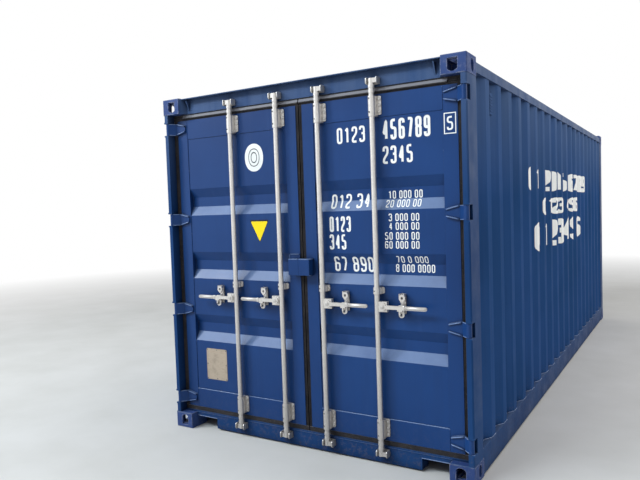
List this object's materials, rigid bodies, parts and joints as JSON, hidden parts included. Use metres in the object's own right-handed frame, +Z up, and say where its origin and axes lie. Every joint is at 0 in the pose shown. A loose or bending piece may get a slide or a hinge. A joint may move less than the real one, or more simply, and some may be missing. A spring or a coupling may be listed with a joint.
{
  "type": "shipping container",
  "caption": "Steel dry freight container with corrugated walls, ribbed roof, corner castings and a pair of end doors on hinges, held by lock rods with cams, hinged handles and swinging catches.",
  "frame": {"origin": "on the ground under the middle of the box", "axes": "+Z up, +X to the right seen from the door end, +Y from the doors to the closed end"},
  "size_m": [2.438, 6.058, 2.591],
  "materials": {
    "container_paint": "dull, weathered",
    "door_paint": "satin, weathered",
    "galvanised_steel": "dull galvanised",
    "door_seal": "matt",
    "floor_plywood": "worn"
  },
  "bodies": {
    "container": {"lower_corner_castings": "container_paint", "upper_corner_castings": "container_paint", "right_door_post": "container_paint", "left_door_post": "container_paint", "right_front_post": "container_paint", "left_front_post": "container_paint", "door_header": "container_paint", "door_sill": "container_paint", "front_top_rail": "container_paint", "front_bottom_rail": "container_paint", "right_top_rail": "container_paint", "left_top_rail": "container_paint", "right_bottom_rail": "container_paint", "left_bottom_rail": "container_paint", "right_wall": "container_paint", "left_wall": "container_paint", "front_wall": "container_paint", "roof": "container_paint", "plywood_floor": "floor_plywood", "floor_cross_members": "container_paint", "hinge_lugs": "container_paint", "hinge_pins": "galvanised_steel", "cam_keepers": "galvanised_steel", "vents": "container_paint"},
    "right_door": {"right_door_frame": "door_paint", "right_door_panel": "door_paint", "right_door_gasket": "door_seal", "right_hinge_blades": "door_paint", "right_rod_guides": "galvanised_steel", "right_handle_retainers": "galvanised_steel", "right_lock_box": "door_paint"},
    "left_door": {"left_door_frame": "door_paint", "left_door_panel": "door_paint", "left_door_gasket": "door_seal", "left_hinge_blades": "door_paint", "left_rod_guides": "galvanised_steel", "left_handle_retainers": "galvanised_steel", "left_lock_box": "door_paint"},
    "left_outer_rod": {"left_outer_rod": "galvanised_steel"},
    "left_outer_handle": {"left_outer_handle": "galvanised_steel"},
    "left_outer_catch": {"left_outer_catch": "galvanised_steel"},
    "left_inner_rod": {"left_inner_rod": "galvanised_steel"},
    "left_inner_handle": {"left_inner_handle": "galvanised_steel"},
    "left_inner_catch": {"left_inner_catch": "galvanised_steel"},
    "right_inner_rod": {"right_inner_rod": "galvanised_steel"},
    "right_inner_handle": {"right_inner_handle": "galvanised_steel"},
    "right_inner_catch": {"right_inner_catch": "galvanised_steel"},
    "right_outer_rod": {"right_outer_rod": "galvanised_steel"},
    "right_outer_handle": {"right_outer_handle": "galvanised_steel"},
    "right_outer_catch": {"right_outer_catch": "galvanised_steel"}
  },
  "joints": [
    {"name": "right_door_hinge", "type": "hinge", "parent": "container", "child": "right_door", "pos_m": [1.192, -3.005, 1.3], "axis": [0, 0, 1], "range_deg": [0, 258]},
    {"name": "left_door_hinge", "type": "hinge", "parent": "container", "child": "left_door", "pos_m": [-1.192, -3.005, 1.3], "axis": [0, 0, -1], "range_deg": [0, 258]},
    {"name": "left_outer_rod_turn", "type": "hinge", "parent": "left_door", "child": "left_outer_rod", "pos_m": [-0.583, -2.997, 1.3], "axis": [0, 0, -1], "range_deg": [-110, 0]},
    {"name": "left_outer_handle_lift", "type": "hinge", "parent": "left_outer_rod", "child": "left_outer_handle", "pos_m": [-0.628, -3.017, 1.06], "axis": [0, 1, 0], "range_deg": [0, 15]},
    {"name": "left_outer_catch_swing", "type": "hinge", "parent": "left_door", "child": "left_outer_catch", "pos_m": [-0.751, -2.981, 1.136], "axis": [-1, 0, 0], "range_deg": [0, 100]},
    {"name": "left_inner_rod_turn", "type": "hinge", "parent": "left_door", "child": "left_inner_rod", "pos_m": [-0.171, -2.997, 1.3], "axis": [0, 0, -1], "range_deg": [-110, 0]},
    {"name": "left_inner_handle_lift", "type": "hinge", "parent": "left_inner_rod", "child": "left_inner_handle", "pos_m": [-0.216, -3.017, 1.06], "axis": [0, 1, 0], "range_deg": [0, 15]},
    {"name": "left_inner_catch_swing", "type": "hinge", "parent": "left_door", "child": "left_inner_catch", "pos_m": [-0.339, -2.981, 1.136], "axis": [-1, 0, 0], "range_deg": [0, 100]},
    {"name": "right_inner_rod_turn", "type": "hinge", "parent": "right_door", "child": "right_inner_rod", "pos_m": [0.171, -2.997, 1.3], "axis": [0, 0, 1], "range_deg": [-110, 0]},
    {"name": "right_inner_handle_lift", "type": "hinge", "parent": "right_inner_rod", "child": "right_inner_handle", "pos_m": [0.216, -3.017, 1.06], "axis": [0, -1, 0], "range_deg": [0, 15]},
    {"name": "right_inner_catch_swing", "type": "hinge", "parent": "right_door", "child": "right_inner_catch", "pos_m": [0.339, -2.981, 1.136], "axis": [-1, 0, 0], "range_deg": [0, 100]},
    {"name": "right_outer_rod_turn", "type": "hinge", "parent": "right_door", "child": "right_outer_rod", "pos_m": [0.583, -2.997, 1.3], "axis": [0, 0, 1], "range_deg": [-110, 0]},
    {"name": "right_outer_handle_lift", "type": "hinge", "parent": "right_outer_rod", "child": "right_outer_handle", "pos_m": [0.628, -3.017, 1.06], "axis": [0, -1, 0], "range_deg": [0, 15]},
    {"name": "right_outer_catch_swing", "type": "hinge", "parent": "right_door", "child": "right_outer_catch", "pos_m": [0.751, -2.981, 1.136], "axis": [-1, 0, 0], "range_deg": [0, 100]}
  ]
}
